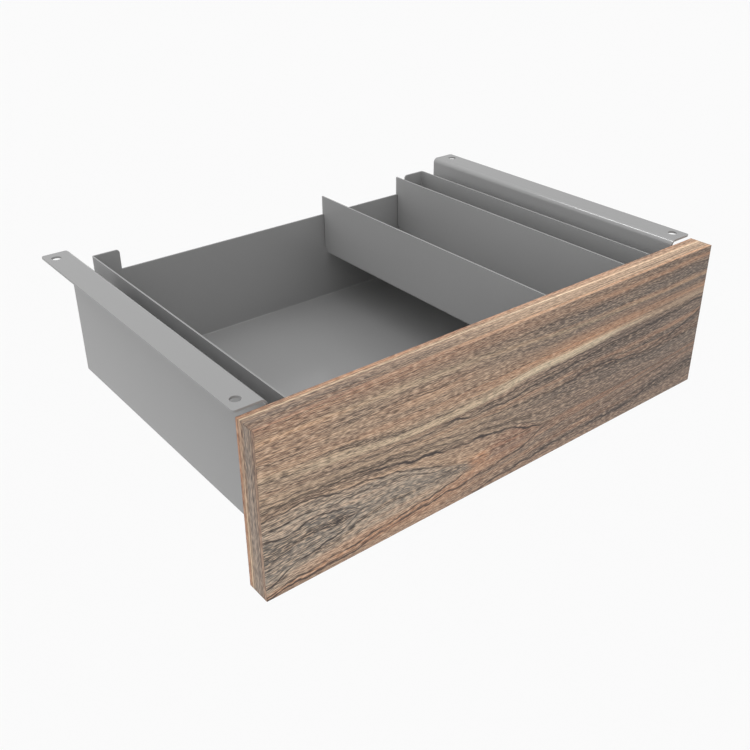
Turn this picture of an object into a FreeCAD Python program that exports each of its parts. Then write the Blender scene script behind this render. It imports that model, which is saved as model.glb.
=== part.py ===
import FreeCAD, Part

import math
import os
import re

import Sketcher

# Under desk drawer.  Frame: +Z up, +X to the right, +Y to the rear, so the panel faces -Y.
# The origin is the centre of the four desk screw holes, on the plane of the flange tops,
# and the whole drawer hangs below it.  All sizes are in millimetres.
DRIVING_SIZES = {
    # Front panel: a laminated board with edge bands.
    "panel_width": 400,
    "panel_height": 116,
    "board_thickness": 18,
    "panel_drop": 2.6,
    "laminate_thickness": 0.6,
    "band_thickness": 1,
    # Desk brackets: an angle of folded sheet on each side.
    "bracket_length": 268,
    "bracket_sheet": 1.5,
    "flange_width": 21.5,
    "web_height": 100,
    "bend_radius": 4,
    "corner_radius": 2,
    "desk_hole_radius": 3.5,
    "desk_hole_to_end": 10,
    "desk_hole_to_edge": 7.5,
    # Tray: one folded sheet, open at the top.
    "panel_gap": 2,
    "tray_width": 327,
    "tray_length": 269.3,
    "tray_height": 95.2,
    "tray_drop": 9,
    "tray_sheet": 1.2,
    "tray_bend": 2,
    "back_wall_drop": 25,
    "ear_width": 21.8,
    "ear_radius": 2.5,
    # Raised tray: a folded channel from front to back, whose two walls part the inside.
    "raised_place": 47.9,
    "raised_wall_pitch": 83.8,
    "raised_drop": 8.6,
    "raised_height": 51.7,
    "raised_bend": 0.8,
    "raised_end_gap": 3,
    "tab_width": 12,
    "tab_relief": 4,
    # Ball-bearing slides: outer, middle and inner rail, nested.
    "rail_length": 250,
    "rail_inset": 2,
    "rail_drop": 55,
    "slide_depth": 12.7,
    "rail_sheet": 1,
    "outer_half_height": 17.5,
    "outer_depth": 9.5,
    "middle_back": 3,
    "middle_depth": 8,
    "inner_depth": 7.5,
    "rail_shortfall": 4,
    "ball_radius": 1.5,
    "race_gap": 0.2,
    "lip_overlap": 0.6,
    "ball_pitch": 13,
    "balls_per_row": 8,
    "cage_sheet": 0.4,
    "cage_gap": 0.2,
    "cage_length": 110,
    # Fasteners.
    "rail_screw_radius": 2,
    "rail_screw_to_end": 20,
    "rail_screw_pitch": 105,
    "flat_head_radius": 3.6,
    "flat_head_height": 1.2,
    "boss_radius": 4.5,
    "pan_head_radius": 3.6,
    "pan_head_height": 2.2,
    "rail_screw_reach": 1.5,
    "wood_screw_radius": 1.75,
    "wood_screw_length": 15,
    "panel_screw_place": 140,
    "lower_screw_drop": 86,
    "upper_screw_drop": 30,
    "tab_screw_drop": 18,
    "tab_screw_pitch": 28,
    "rivet_radius": 1.6,
    "rivet_head_radius": 3.2,
    "rivet_head_height": 1,
    "rivet_drop": 33,
    "rivet_pitch": 17,
    "pin_gap": 0.06,
    # Release lever inside each inner rail, and the bumper at the rear of each outer rail.
    "lever_place": 20,
    "lever_length": 44,
    "lever_height": 5,
    "lever_thickness": 2,
    "lever_end_flat": 0.2,
    "lever_gap": 1,
    "lever_pin_radius": 1.5,
    "lever_pin_head_radius": 2.4,
    "lever_pin_head_height": 1,
    "bumper_thickness": 3.4,
    "bumper_height": 12,
    "bumper_depth": 8,
}

# Places worked out from the driving sizes, as formulas of their names.
BRACKET_END = "(bracket_length / 2)"
WEB_INNER = "(panel_width / 2 - flange_width)"
DESK_HOLE_X = "(panel_width / 2 - desk_hole_to_edge)"
DESK_HOLE_Y = f"({BRACKET_END} - desk_hole_to_end)"
PANEL_BACK = f"(-{BRACKET_END} - panel_gap)"
PANEL_FRONT = f"({PANEL_BACK} - board_thickness)"
TRAY_SIDE = "(tray_width / 2)"
TRAY_BACK = f"({PANEL_BACK} + tray_length)"
WALL_FRONT = f"({PANEL_BACK} + tray_sheet)"
WALL_BACK = f"({TRAY_BACK} - tray_sheet)"
EAR_EDGE = f"({TRAY_SIDE} - ear_width)"
RAIL_FRONT = f"(-{BRACKET_END} + rail_inset)"
RAIL_BACK_X = f"({TRAY_SIDE} + slide_depth)"
STANDOFF = f"({WEB_INNER} - {RAIL_BACK_X})"
RACE_RADIUS = "(ball_radius + race_gap)"
OUTER_BALL_Z = f"(outer_half_height - rail_sheet - {RACE_RADIUS})"
OUTER_BALL_X = f"(outer_depth - rail_sheet - {RACE_RADIUS})"
MIDDLE_HALF_HEIGHT = f"({OUTER_BALL_Z} - {RACE_RADIUS})"
MIDDLE_FRONT = "(middle_back + middle_depth)"
INNER_BALL_Z = f"({MIDDLE_HALF_HEIGHT} - rail_sheet - {RACE_RADIUS})"
INNER_BALL_X = f"({MIDDLE_FRONT} - rail_sheet - {RACE_RADIUS})"
INNER_HALF_HEIGHT = f"({INNER_BALL_Z} - {RACE_RADIUS})"
CAGE_START = f"({RAIL_FRONT} + rail_length / 2 - cage_length / 2)"
FIRST_BALL = f"({CAGE_START} + (cage_length - (balls_per_row - 1) * ball_pitch) / 2)"
FIRST_RAIL_SCREW = f"({RAIL_FRONT} + rail_screw_to_end)"
INNER_RAIL_FACE = "(slide_depth - rail_sheet)"
LEVER_FACE = f"({INNER_RAIL_FACE} - lever_thickness - lever_gap)"
RAISED_LOW = "(-raised_drop - raised_height)"
FRONT_TAB_FACE = f"({WALL_FRONT} + tray_sheet)"
BACK_TAB_FACE = f"({WALL_BACK} - tray_sheet)"
PANEL_LOW = "(-panel_drop - panel_height)"
PANEL_HIGH = "(-panel_drop)"
PANEL_SIDE = "(panel_width / 2)"
BOARD_SIDE = "(panel_width / 2 - band_thickness)"

# Lengths that take a two-sided cut right through a sheet, a slide or the whole tray.
THROUGH_SHEET = "tray_sheet * 3"
THROUGH_SLIDE = "slide_depth * 3"
THROUGH_TRAY = "tray_width * 2"

RAIL_SCREW_COUNT = 3
SIDES = ("left", "right")
SIGNS = ("", "-")
Y_AXIS = FreeCAD.Vector(0, 1, 0)
Z_AXIS = FreeCAD.Vector(0, 0, 1)

doc = FreeCAD.newDocument("UnderDeskDrawer")
sizes = doc.addObject("Spreadsheet::Sheet", "Sizes")
for row, (alias, value) in enumerate(DRIVING_SIZES.items(), start=1):
    sizes.set(f"A{row}", alias)
    sizes.set(f"B{row}", str(value))
    sizes.setAlias(f"B{row}", alias)
doc.recompute()

nodes = []


def formula(text):
    """A formula of the sheet's names, in the form that an expression needs."""
    return re.sub(r"[a-z][a-z_]+", lambda word: f"Sizes.{word.group()}", str(text))


def value_of(text):
    """The number that a formula gives with the sheet's present values."""
    return float(sizes.evalExpression(formula(text)))


def bind(item, prop, text):
    item.setExpression(prop, formula(text))


def place(item, x="0", y="0", z="0", half_turn=None):
    """Put a sub-part in its place, after an optional half turn about an axis."""
    if half_turn:
        item.Placement = FreeCAD.Placement(FreeCAD.Vector(), FreeCAD.Rotation(half_turn, 180))
    for axis, text in (("x", x), ("y", y), ("z", z)):
        bind(item, f"Placement.Base.{axis}", text)


def new_body(name, **where):
    body = doc.addObject("PartDesign::Body", name)
    body.Label = name
    place(body, **where)
    nodes.append(body)
    return body


def origin_item(body, role):
    return next(item for item in body.Origin.OriginFeatures if item.Role == role)


def new_sketch(body, plane, height="0"):
    """A sketch on one of the body's origin planes, moved along the plane's normal."""
    sketch = body.newObject("Sketcher::SketchObject", f"{body.Name}_sketch")
    sketch.AttachmentSupport = [(origin_item(body, plane), "")]
    sketch.MapMode = "FlatFace"
    bind(sketch, "AttachmentOffset.Base.z", height)
    return sketch


def half_turn_for(side, axis):
    """Sub-parts are drawn for the left side; the right one is the same after a half turn."""
    return None if side == "left" else axis


def drive(sketch, kind, *where, text):
    """A dimension of the sketch that follows a formula."""
    index = sketch.addConstraint(Sketcher.Constraint(kind, *where, value_of(text)))
    name = f"size{index}"
    sketch.renameConstraint(index, name)
    bind(sketch, f"Constraints.{name}", text)


def outline(sketch, corners):
    """A closed polygon with every corner driven by formulas."""
    first = sketch.GeometryCount
    points = [FreeCAD.Vector(value_of(x), value_of(y), 0) for x, y in corners]
    for start, end in zip(points, points[1:] + points[:1]):
        sketch.addGeometry(Part.LineSegment(start, end))
    count = len(corners)
    for index in range(count):
        following = first + (index + 1) % count
        sketch.addConstraint(Sketcher.Constraint("Coincident", first + index, 2, following, 1))
    for index, (x, y) in enumerate(corners, start=first):
        drive(sketch, "DistanceX", -1, 1, index, 1, text=x)
        drive(sketch, "DistanceY", -1, 1, index, 1, text=y)


def rectangle(sketch, x_low, y_low, x_high, y_high):
    outline(sketch, [(x_low, y_low), (x_high, y_low), (x_high, y_high), (x_low, y_high)])


def circle(sketch, x, y, radius):
    centre = FreeCAD.Vector(value_of(x), value_of(y), 0)
    index = sketch.addGeometry(Part.Circle(centre, Z_AXIS, value_of(radius)))
    drive(sketch, "DistanceX", -1, 1, index, 3, text=x)
    drive(sketch, "DistanceY", -1, 1, index, 3, text=y)
    drive(sketch, "Radius", index, text=radius)


def extrude(kind, body, sketch, length, backwards=False, both_ways=False):
    """A pad or a pocket of one sketch, checked for having changed the solid."""
    before = body.Shape.Volume if body.Tip else 0
    feature = body.newObject(f"PartDesign::{kind}", f"{body.Name}_{kind.lower()}")
    feature.Profile = sketch
    feature.SideType = "Symmetric" if both_ways else "One side"
    feature.Reversed = backwards
    bind(feature, "Length", length)
    doc.recompute()
    if abs(body.Shape.Volume - before) < 1e-6:
        raise RuntimeError(f"{feature.Name} changed nothing")
    return feature


def pad(body, sketch, length, **options):
    return extrude("Pad", body, sketch, length, **options)


def pocket(body, sketch, length, **options):
    return extrude("Pocket", body, sketch, length, **options)


def edges_along(shape, axis, places):
    """Names of the straight edges along an axis (0, 1 or 2) through the given places."""
    found = []
    others = [index for index in range(3) if index != axis]
    spots = [(value_of(a), value_of(b)) for a, b in places]
    for number, edge in enumerate(shape.Edges, start=1):
        ends = [vertex.Point for vertex in edge.Vertexes]
        if len(ends) != 2 or abs(abs((ends[1] - ends[0])[axis]) - edge.Length) > 1e-4:
            continue
        for a, b in spots:
            if abs(ends[0][others[0]] - a) < 1e-3 and abs(ends[0][others[1]] - b) < 1e-3:
                found.append(f"Edge{number}")
    return found


def fillet_edges(body, radius, edges):
    """Round the edges with the given names."""
    base = body.Tip
    feature = body.newObject("PartDesign::Fillet", f"{body.Name}_fillet")
    feature.Base = (base, edges)
    bind(feature, "Radius", radius)
    doc.recompute()
    return feature


def fillet(body, radius, axis, places):
    """Round the edges that run along an axis through the given places."""
    edges = edges_along(body.Tip.Shape, axis, places)
    if len(edges) < len(places):
        raise RuntimeError(f"{body.Name}: {len(edges)} edges for {len(places)} places")
    return fillet_edges(body, radius, edges)


def turn(body, sketch, reference):
    """Turn a closed half section through a full circle about a reference axis."""
    feature = body.newObject("PartDesign::Revolution", f"{body.Name}_revolution")
    feature.Profile = sketch
    feature.ReferenceAxis = reference
    feature.Angle = 360
    doc.recompute()
    return feature


def turn_about_x(body, profile):
    """Turn a profile of (along, radius) pairs about the body's own X axis."""
    sketch = new_sketch(body, "XY_Plane")
    outline(sketch, profile)
    return turn(body, sketch, (origin_item(body, "X_Axis"), [""]))


def turn_about_edge(body, sketch, edge):
    """Turn a closed half section about one of its own straight edges."""
    return turn(body, sketch, (sketch, [f"Edge{edge + 1}"]))


def repeat(body, features, spacing, count):
    """Repeat features in a row along the body's own Y axis."""
    pattern = body.newObject("PartDesign::LinearPattern", f"{body.Name}_pattern")
    pattern.Originals = features
    pattern.Direction = (origin_item(body, "Y_Axis"), [""])
    pattern.Mode = "Spacing"
    bind(pattern, "Offset", spacing)
    bind(pattern, "Occurrences", count)
    body.Tip = pattern
    doc.recompute()


def make_bracket(side):
    """An angle: the flange lies under the desk and points outwards, the web hangs down."""
    body = new_body(f"{side}_bracket", half_turn=half_turn_for(side, Z_AXIS))
    edge = f"-{PANEL_SIDE}"
    web_in = f"-{WEB_INNER}"
    web_out = f"-({WEB_INNER} + bracket_sheet)"
    profile = new_sketch(body, "XZ_Plane")
    outline(profile, [
        (edge, "0"),
        (edge, "-bracket_sheet"),
        (web_out, "-bracket_sheet"),
        (web_out, "-web_height"),
        (web_in, "-web_height"),
        (web_in, "0"),
    ])
    pad(body, profile, "bracket_length", both_ways=True)
    fillet(body, "bend_radius", 1, [(web_in, "0")])
    fillet(body, "bend_radius - bracket_sheet", 1, [(web_out, "-bracket_sheet")])
    ends = (f"-{BRACKET_END}", BRACKET_END)
    fillet(body, "corner_radius", 2, [(edge, end) for end in ends])
    fillet(body, "corner_radius / 2", 0, [(end, "-web_height") for end in ends])
    holes = new_sketch(body, "XY_Plane")
    for hole_y in (f"-{DESK_HOLE_Y}", DESK_HOLE_Y):
        circle(holes, f"-{DESK_HOLE_X}", hole_y, "desk_hole_radius")
    pocket(body, holes, "bracket_sheet * 2")


def make_tray():
    """One folded sheet: floor, two sides, front wall and a back wall cut down between ears."""
    body = new_body("tray")
    blank = new_sketch(body, "XY_Plane", height="-tray_drop")
    rectangle(blank, f"-{TRAY_SIDE}", PANEL_BACK, TRAY_SIDE, TRAY_BACK)
    pad(body, blank, "tray_height", backwards=True)
    floor = "-tray_drop - tray_height"
    sides = (f"-{TRAY_SIDE}", TRAY_SIDE)
    ends = (PANEL_BACK, TRAY_BACK)
    bends = edges_along(body.Shape, 0, [(end, floor) for end in ends])
    bends += edges_along(body.Shape, 1, [(side, floor) for side in sides])
    bends += edges_along(body.Shape, 2, [(side, end) for side in sides for end in ends])
    folded = fillet_edges(body, "tray_bend", bends)
    faces = folded.Shape.Faces
    top = max(range(len(faces)), key=lambda index: faces[index].CenterOfMass.z)
    shell = body.newObject("PartDesign::Thickness", "tray_shell")
    shell.Base = (folded, [f"Face{top + 1}"])
    shell.Reversed = True
    bind(shell, "Value", "tray_sheet")
    doc.recompute()

    cut = new_sketch(body, "XZ_Plane", height=f"-{TRAY_BACK}")
    rectangle(cut, f"-{EAR_EDGE}", "-back_wall_drop", EAR_EDGE, "0")
    pocket(body, cut, THROUGH_SHEET, both_ways=True)
    fillet(body, "ear_radius", 1, [(f"{sign}{EAR_EDGE}", "-tray_drop") for sign in SIGNS])

    side_holes = new_sketch(body, "YZ_Plane")
    for index in range(RAIL_SCREW_COUNT):
        hole_y = f"{FIRST_RAIL_SCREW} + rail_screw_pitch * {index}"
        circle(side_holes, hole_y, "-rail_drop", "rail_screw_radius + pin_gap")
    pocket(body, side_holes, THROUGH_TRAY, both_ways=True)

    front_holes = new_sketch(body, "XZ_Plane", height=f"-{WALL_FRONT}")
    for hole_x, hole_z in panel_screw_places() + tab_screw_places():
        circle(front_holes, hole_x, hole_z, "wood_screw_radius + pin_gap")
    pocket(body, front_holes, THROUGH_SHEET, both_ways=True)

    back_holes = new_sketch(body, "XZ_Plane", height=f"-{WALL_BACK}")
    for hole_x, hole_z in rivet_places():
        circle(back_holes, hole_x, hole_z, "rivet_radius + pin_gap")
    pocket(body, back_holes, THROUGH_SHEET, both_ways=True)


def panel_screw_places():
    """Screws straight through the tray's front wall: a lower row and two upper ones."""
    step = "panel_screw_place * 2 / 3"
    places = [(f"-panel_screw_place + {step} * {i}", "-lower_screw_drop") for i in range(4)]
    places += [(f"-panel_screw_place + {step} * {i}", "-upper_screw_drop") for i in range(2)]
    return places


def tab_places(first_drop, pitch):
    """Two places on the tab of each wall of the raised tray, one above the other."""
    tab_x = "raised_place + (tab_width + tray_sheet) / 2"
    return [
        (f"{tab_x} + raised_wall_pitch * {column}", f"-{first_drop} - {pitch} * {level}")
        for column in range(2)
        for level in range(2)
    ]


def tab_screw_places():
    return tab_places("tab_screw_drop", "tab_screw_pitch")


def rivet_places():
    return tab_places("rivet_drop", "rivet_pitch")


def make_raised_tray():
    """One folded sheet: a floor above the tray's own, and two walls with tabs at their ends."""
    body = new_body("raised_tray")
    walls = [f"(raised_place + raised_wall_pitch * {column})" for column in range(2)]
    left, right = walls[0], f"({walls[1]} + tray_sheet)"
    inner_floor = f"{RAISED_LOW} + tray_sheet"
    profile = new_sketch(body, "XZ_Plane", height=f"-({BACK_TAB_FACE} - raised_end_gap)")
    outline(profile, [
        (left, RAISED_LOW),
        (right, RAISED_LOW),
        (right, "-raised_drop"),
        (walls[1], "-raised_drop"),
        (walls[1], inner_floor),
        (f"{left} + tray_sheet", inner_floor),
        (f"{left} + tray_sheet", "-raised_drop"),
        (left, "-raised_drop"),
    ])
    pad(body, profile, f"{BACK_TAB_FACE} - {FRONT_TAB_FACE} - raised_end_gap * 2")
    fillet(body, "raised_bend + tray_sheet", 1, [(left, RAISED_LOW), (right, RAISED_LOW)])
    fillet(body, "raised_bend", 1, [(f"{left} + tray_sheet", inner_floor), (walls[1], inner_floor)])

    # Above a relief gap both walls reach the ends, where their tabs fold to the right.
    for wall in walls:
        face, tab_end = f"{wall} + tray_sheet", f"{wall} + tab_width"
        folded = new_sketch(body, "XY_Plane", height=f"{inner_floor} + tab_relief")
        outline(folded, [
            (wall, WALL_FRONT),
            (tab_end, WALL_FRONT),
            (tab_end, FRONT_TAB_FACE),
            (face, FRONT_TAB_FACE),
            (face, BACK_TAB_FACE),
            (tab_end, BACK_TAB_FACE),
            (tab_end, WALL_BACK),
            (wall, WALL_BACK),
        ])
        pad(body, folded, "raised_height - tray_sheet - tab_relief")
        fillet(body, "raised_bend + tray_sheet", 2, [(wall, WALL_FRONT), (wall, WALL_BACK)])
        fillet(body, "raised_bend", 2, [(face, FRONT_TAB_FACE), (face, BACK_TAB_FACE)])

    # Above the back wall the rear tabs are cut off, and the walls reach over it.
    bend_start = f"{BACK_TAB_FACE} - raised_bend * 2"
    above_wall = new_sketch(body, "XY_Plane", height="-back_wall_drop")
    for wall in walls:
        rectangle(above_wall, f"{wall} + tray_sheet", bend_start, f"{wall} + tab_width * 2", TRAY_BACK)
    pocket(body, above_wall, "raised_height", backwards=True)
    shoulders = new_sketch(body, "XY_Plane", height="-back_wall_drop")
    for wall in walls:
        rectangle(shoulders, wall, bend_start, f"{wall} + tray_sheet", TRAY_BACK)
    pad(body, shoulders, "back_wall_drop - raised_drop")

    screw_holes = new_sketch(body, "XZ_Plane", height=f"-{FRONT_TAB_FACE}")
    for hole_x, hole_z in tab_screw_places():
        circle(screw_holes, hole_x, hole_z, "wood_screw_radius + pin_gap")
    pocket(body, screw_holes, THROUGH_SHEET, both_ways=True)
    rivet_holes = new_sketch(body, "XZ_Plane", height=f"-{BACK_TAB_FACE}")
    for hole_x, hole_z in rivet_places():
        circle(rivet_holes, hole_x, hole_z, "rivet_radius + pin_gap")
    pocket(body, rivet_holes, THROUGH_SHEET, both_ways=True)


def channel(body, half_height, back, tip, sheet, lip=None):
    """A C-shaped profile on its back; its flanges may end in lips that turn inwards."""
    inside = f"{half_height} - {sheet}"
    back_face = f"{back} + {sheet}"
    upper = [(back_face, inside), (tip, inside), (tip, half_height)]
    if lip:
        upper[1:2] = [(f"{tip} - {sheet}", inside), (f"{tip} - {sheet}", lip), (tip, lip)]
    lower = [(x, f"-({z})") for x, z in reversed(upper)]
    profile = new_sketch(body, "XZ_Plane", height=f"-({body_start(body)})")
    outline(profile, [(back, f"-({half_height})")] + lower + upper + [(back, half_height)])
    return profile


def body_start(body):
    """Where a rail or a cage begins along the travel."""
    return CAGE_START if body.Label.endswith("cage") else RAIL_FRONT


def slide_body(side, name):
    """A body in the slide's own frame: X from the outer rail's back towards the tray."""
    return side_body(side, name, RAIL_BACK_X)


def side_body(side, name, distance, start="0"):
    """A body on one side, whose X axis points at the tray and starts at a distance from it."""
    sign = "-" if side == "left" else ""
    half_turn = half_turn_for(side, Y_AXIS)
    return new_body(f"{side}_{name}", x=f"{sign}{distance}", y=start, z="-rail_drop", half_turn=half_turn)


def mirrored(places):
    """Each (x, z) place, and the same place below the slide's middle."""
    return [(x, f"{sign}({z})") for x, z in places for sign in SIGNS]


def rail_holes(body, radius):
    """The row of screw holes through a rail's back."""
    holes = new_sketch(body, "YZ_Plane")
    for index in range(RAIL_SCREW_COUNT):
        circle(holes, f"{FIRST_RAIL_SCREW} + rail_screw_pitch * {index}", "0", radius)
    pocket(body, holes, THROUGH_SLIDE, both_ways=True)


def make_rails(side):
    """Three nested channels; the curled lips hold the balls of the next rail in."""
    outer = slide_body(side, "outer_rail")
    lip_z = f"{OUTER_BALL_Z} - lip_overlap"
    profile = channel(outer, "outer_half_height", "0", "outer_depth", "rail_sheet", lip_z)
    pad(outer, profile, "rail_length", backwards=True)
    curl = [("outer_depth - rail_sheet", "outer_half_height - rail_sheet")]
    fillet(outer, RACE_RADIUS, 1, mirrored(curl))
    rolled = [("outer_depth", "outer_half_height")]
    fillet(outer, f"{RACE_RADIUS} + rail_sheet", 1, mirrored(rolled))
    fillet(outer, "rail_sheet", 1, mirrored([("0", "outer_half_height")]))
    rail_holes(outer, "rail_screw_radius + pin_gap")

    middle = slide_body(side, "middle_rail")
    lip_z = f"{INNER_BALL_Z} - lip_overlap"
    profile = channel(middle, MIDDLE_HALF_HEIGHT, "middle_back", MIDDLE_FRONT, "rail_sheet", lip_z)
    pad(middle, profile, "rail_length - rail_shortfall", backwards=True)
    curl = [(f"{MIDDLE_FRONT} - rail_sheet", f"{MIDDLE_HALF_HEIGHT} - rail_sheet")]
    fillet(middle, RACE_RADIUS, 1, mirrored(curl))
    fillet(middle, f"{RACE_RADIUS} + rail_sheet", 1, mirrored([(MIDDLE_FRONT, MIDDLE_HALF_HEIGHT)]))
    fillet(middle, "rail_sheet", 1, mirrored([("middle_back", MIDDLE_HALF_HEIGHT)]))

    inner = slide_body(side, "inner_rail")
    profile = new_sketch(inner, "XZ_Plane", height=f"-({RAIL_FRONT})")
    tip = "slide_depth - inner_depth"
    inside = f"{INNER_HALF_HEIGHT} - rail_sheet"
    outline(profile, [
        ("slide_depth", f"-{INNER_HALF_HEIGHT}"),
        ("slide_depth", INNER_HALF_HEIGHT),
        (tip, INNER_HALF_HEIGHT),
        (tip, inside),
        (INNER_RAIL_FACE, inside),
        (INNER_RAIL_FACE, f"-({inside})"),
        (tip, f"-({inside})"),
        (tip, f"-{INNER_HALF_HEIGHT}"),
    ])
    pad(inner, profile, "rail_length - rail_shortfall", backwards=True)
    fillet(inner, "rail_sheet", 1, mirrored([("slide_depth", INNER_HALF_HEIGHT)]))
    rail_holes(inner, "rail_screw_radius + pin_gap")
    pin_hole = new_sketch(inner, "YZ_Plane")
    circle(pin_hole, "lever_place", "0", "lever_pin_radius + pin_gap")
    pocket(inner, pin_hole, THROUGH_SLIDE, both_ways=True)


def make_cage(side, name, ball_x, ball_z, back):
    """A thin channel with a pocket for each ball, and the balls that it spaces."""
    cage = slide_body(side, f"{name}_cage")
    half_height = f"{ball_z} + cage_sheet / 2"
    tip = f"{ball_x} + {RACE_RADIUS} - cage_sheet"
    profile = channel(cage, half_height, back, tip, "cage_sheet")
    pad(cage, profile, "cage_length", backwards=True)
    hole = new_sketch(cage, "XY_Plane")
    circle(hole, ball_x, FIRST_BALL, "ball_radius + race_gap / 2")
    ball_hole = pocket(cage, hole, THROUGH_SLIDE, both_ways=True)
    repeat(cage, [ball_hole], "ball_pitch", "balls_per_row")

    balls = slide_body(side, f"{name}_balls")
    rows = [turned_ball(balls, ball_x, FIRST_BALL, f"{sign}{ball_z}") for sign in SIGNS]
    repeat(balls, rows, "ball_pitch", "balls_per_row")


def turned_ball(body, x, y, z):
    """A ball turned from a half disc about the disc's own straight edge."""
    half_disc = new_sketch(body, "XY_Plane", height=z)
    radius = value_of("ball_radius")
    centre = FreeCAD.Vector(value_of(x), value_of(y), 0)
    reach = FreeCAD.Vector(radius, 0, 0)
    ring = Part.Circle(centre, Z_AXIS, radius)
    arc = half_disc.addGeometry(Part.ArcOfCircle(ring, 0, math.pi))
    line = half_disc.addGeometry(Part.LineSegment(centre - reach, centre + reach))
    half_disc.addConstraint(Sketcher.Constraint("Coincident", arc, 2, line, 1))
    half_disc.addConstraint(Sketcher.Constraint("Coincident", arc, 1, line, 2))
    half_disc.addConstraint(Sketcher.Constraint("PointOnObject", arc, 3, line))
    half_disc.addConstraint(Sketcher.Constraint("Horizontal", line))
    drive(half_disc, "DistanceX", -1, 1, arc, 3, text=x)
    drive(half_disc, "DistanceY", -1, 1, arc, 3, text=y)
    drive(half_disc, "Radius", arc, text="ball_radius")
    return turn_about_edge(body, half_disc, line)


def make_slide_fixings(side):
    """Bosses on the web, and the screws of the outer and the inner rail."""
    bosses = side_body(side, "bracket_bosses", RAIL_BACK_X, FIRST_RAIL_SCREW)
    bore = "rail_screw_radius + pin_gap"
    boss = turn_about_x(bosses, [
        (f"-{STANDOFF}", bore),
        (f"-{STANDOFF}", "boss_radius"),
        ("0", "boss_radius"),
        ("0", bore),
    ])
    repeat(bosses, [boss], "rail_screw_pitch", RAIL_SCREW_COUNT)

    outer_screws = side_body(side, "outer_rail_screws", RAIL_BACK_X, FIRST_RAIL_SCREW)
    head_end = "rail_sheet + flat_head_height"
    screw = turn_about_x(outer_screws, [
        (f"-{STANDOFF} + pin_gap", "0"),
        (f"-{STANDOFF} + pin_gap", "rail_screw_radius"),
        ("rail_sheet", "rail_screw_radius"),
        ("rail_sheet", "flat_head_radius"),
        (head_end, "flat_head_radius - flat_head_height / 2"),
        (head_end, "0"),
    ])
    repeat(outer_screws, [screw], "rail_screw_pitch", RAIL_SCREW_COUNT)

    inner_screws = side_body(side, "inner_rail_screws", TRAY_SIDE, FIRST_RAIL_SCREW)
    head_end = "tray_sheet + pan_head_height"
    screw = turn_about_x(inner_screws, [
        ("-rail_sheet - rail_screw_reach", "0"),
        ("-rail_sheet - rail_screw_reach", "rail_screw_radius"),
        ("tray_sheet", "rail_screw_radius"),
        ("tray_sheet", "pan_head_radius"),
        ("tray_sheet + pan_head_height / 2", "pan_head_radius"),
        (head_end, "pan_head_radius / 2"),
        (head_end, "0"),
    ])
    repeat(inner_screws, [screw], "rail_screw_pitch", RAIL_SCREW_COUNT)


def make_lever(side):
    """The release lever inside the inner rail, and the pin that it turns on."""
    lever = slide_body(side, "release_lever")
    plate = new_sketch(lever, "YZ_Plane", height=LEVER_FACE)
    half = "lever_length / 2"
    rectangle(
        plate,
        f"lever_place - {half}", "-lever_height / 2",
        f"lever_place + {half}", "lever_height / 2",
    )
    pad(lever, plate, "lever_thickness")
    corners = [(f"lever_place {end} {half}", "lever_height / 2") for end in "+-"]
    fillet(lever, "(lever_height - lever_end_flat) / 2", 0, mirrored(corners))
    hole = new_sketch(lever, "YZ_Plane")
    circle(hole, "lever_place", "0", "lever_pin_radius + pin_gap")
    pocket(lever, hole, THROUGH_SLIDE, both_ways=True)

    pin = slide_body(side, "lever_pin")
    bind(pin, "Placement.Base.y", "lever_place")
    head = f"{LEVER_FACE} - pin_gap"
    turn_about_x(pin, [
        (f"{head} - lever_pin_head_height", "0"),
        (f"{head} - lever_pin_head_height", "lever_pin_head_radius"),
        (head, "lever_pin_head_radius"),
        (head, "lever_pin_radius"),
        ("slide_depth - pin_gap", "lever_pin_radius"),
        ("slide_depth - pin_gap", "0"),
    ])


def make_bumper(side):
    """A block on the outer rail's back that the closing rails come up to."""
    bumper = slide_body(side, "rear_bumper")
    profile = new_sketch(bumper, "XZ_Plane", height=f"-({RAIL_FRONT} + rail_length)")
    rectangle(
        profile,
        "rail_sheet", "-bumper_height / 2",
        "rail_sheet + bumper_depth", "bumper_height / 2",
    )
    pad(bumper, profile, "bumper_thickness")
    fillet(bumper, "rail_sheet", 1, mirrored([("rail_sheet + bumper_depth", "bumper_height / 2")]))


def make_panel_fixings():
    """Wood screws into the panel's core, and the rivets of the raised tray's rear tabs."""
    screw = [
        ("pan_head_height", "0"),
        ("pan_head_height", "pan_head_radius / 2"),
        ("pan_head_height / 2", "pan_head_radius"),
        ("0", "pan_head_radius"),
        ("0", "wood_screw_radius"),
        ("-wood_screw_length", "wood_screw_radius"),
        ("-wood_screw_length", "0"),
    ]
    fasteners("panel_screws", screw, WALL_FRONT, panel_screw_places())
    fasteners("raised_tray_screws", screw, FRONT_TAB_FACE, tab_screw_places())
    rivet = [
        ("-rivet_head_height", "0"),
        ("-rivet_head_height", "rivet_head_radius / 2"),
        ("0", "rivet_head_radius"),
        ("0", "rivet_radius"),
        ("tray_sheet * 2", "rivet_radius"),
        ("tray_sheet * 2", "rivet_head_radius"),
        ("tray_sheet * 2 + rivet_head_height", "rivet_head_radius / 2"),
        ("tray_sheet * 2 + rivet_head_height", "0"),
    ]
    fasteners("raised_tray_rivets", rivet, BACK_TAB_FACE, rivet_places())


def fasteners(name, profile, start, places):
    """One node with a fastener along Y at each (x, z) place."""
    body = new_body(name)
    for x, z in places:
        half = new_sketch(body, "XY_Plane", height=z)
        outline(half, [(f"{x} + {r}", f"{start} + {a}") for a, r in profile])
        turn_about_edge(body, half, len(profile) - 1)


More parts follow.
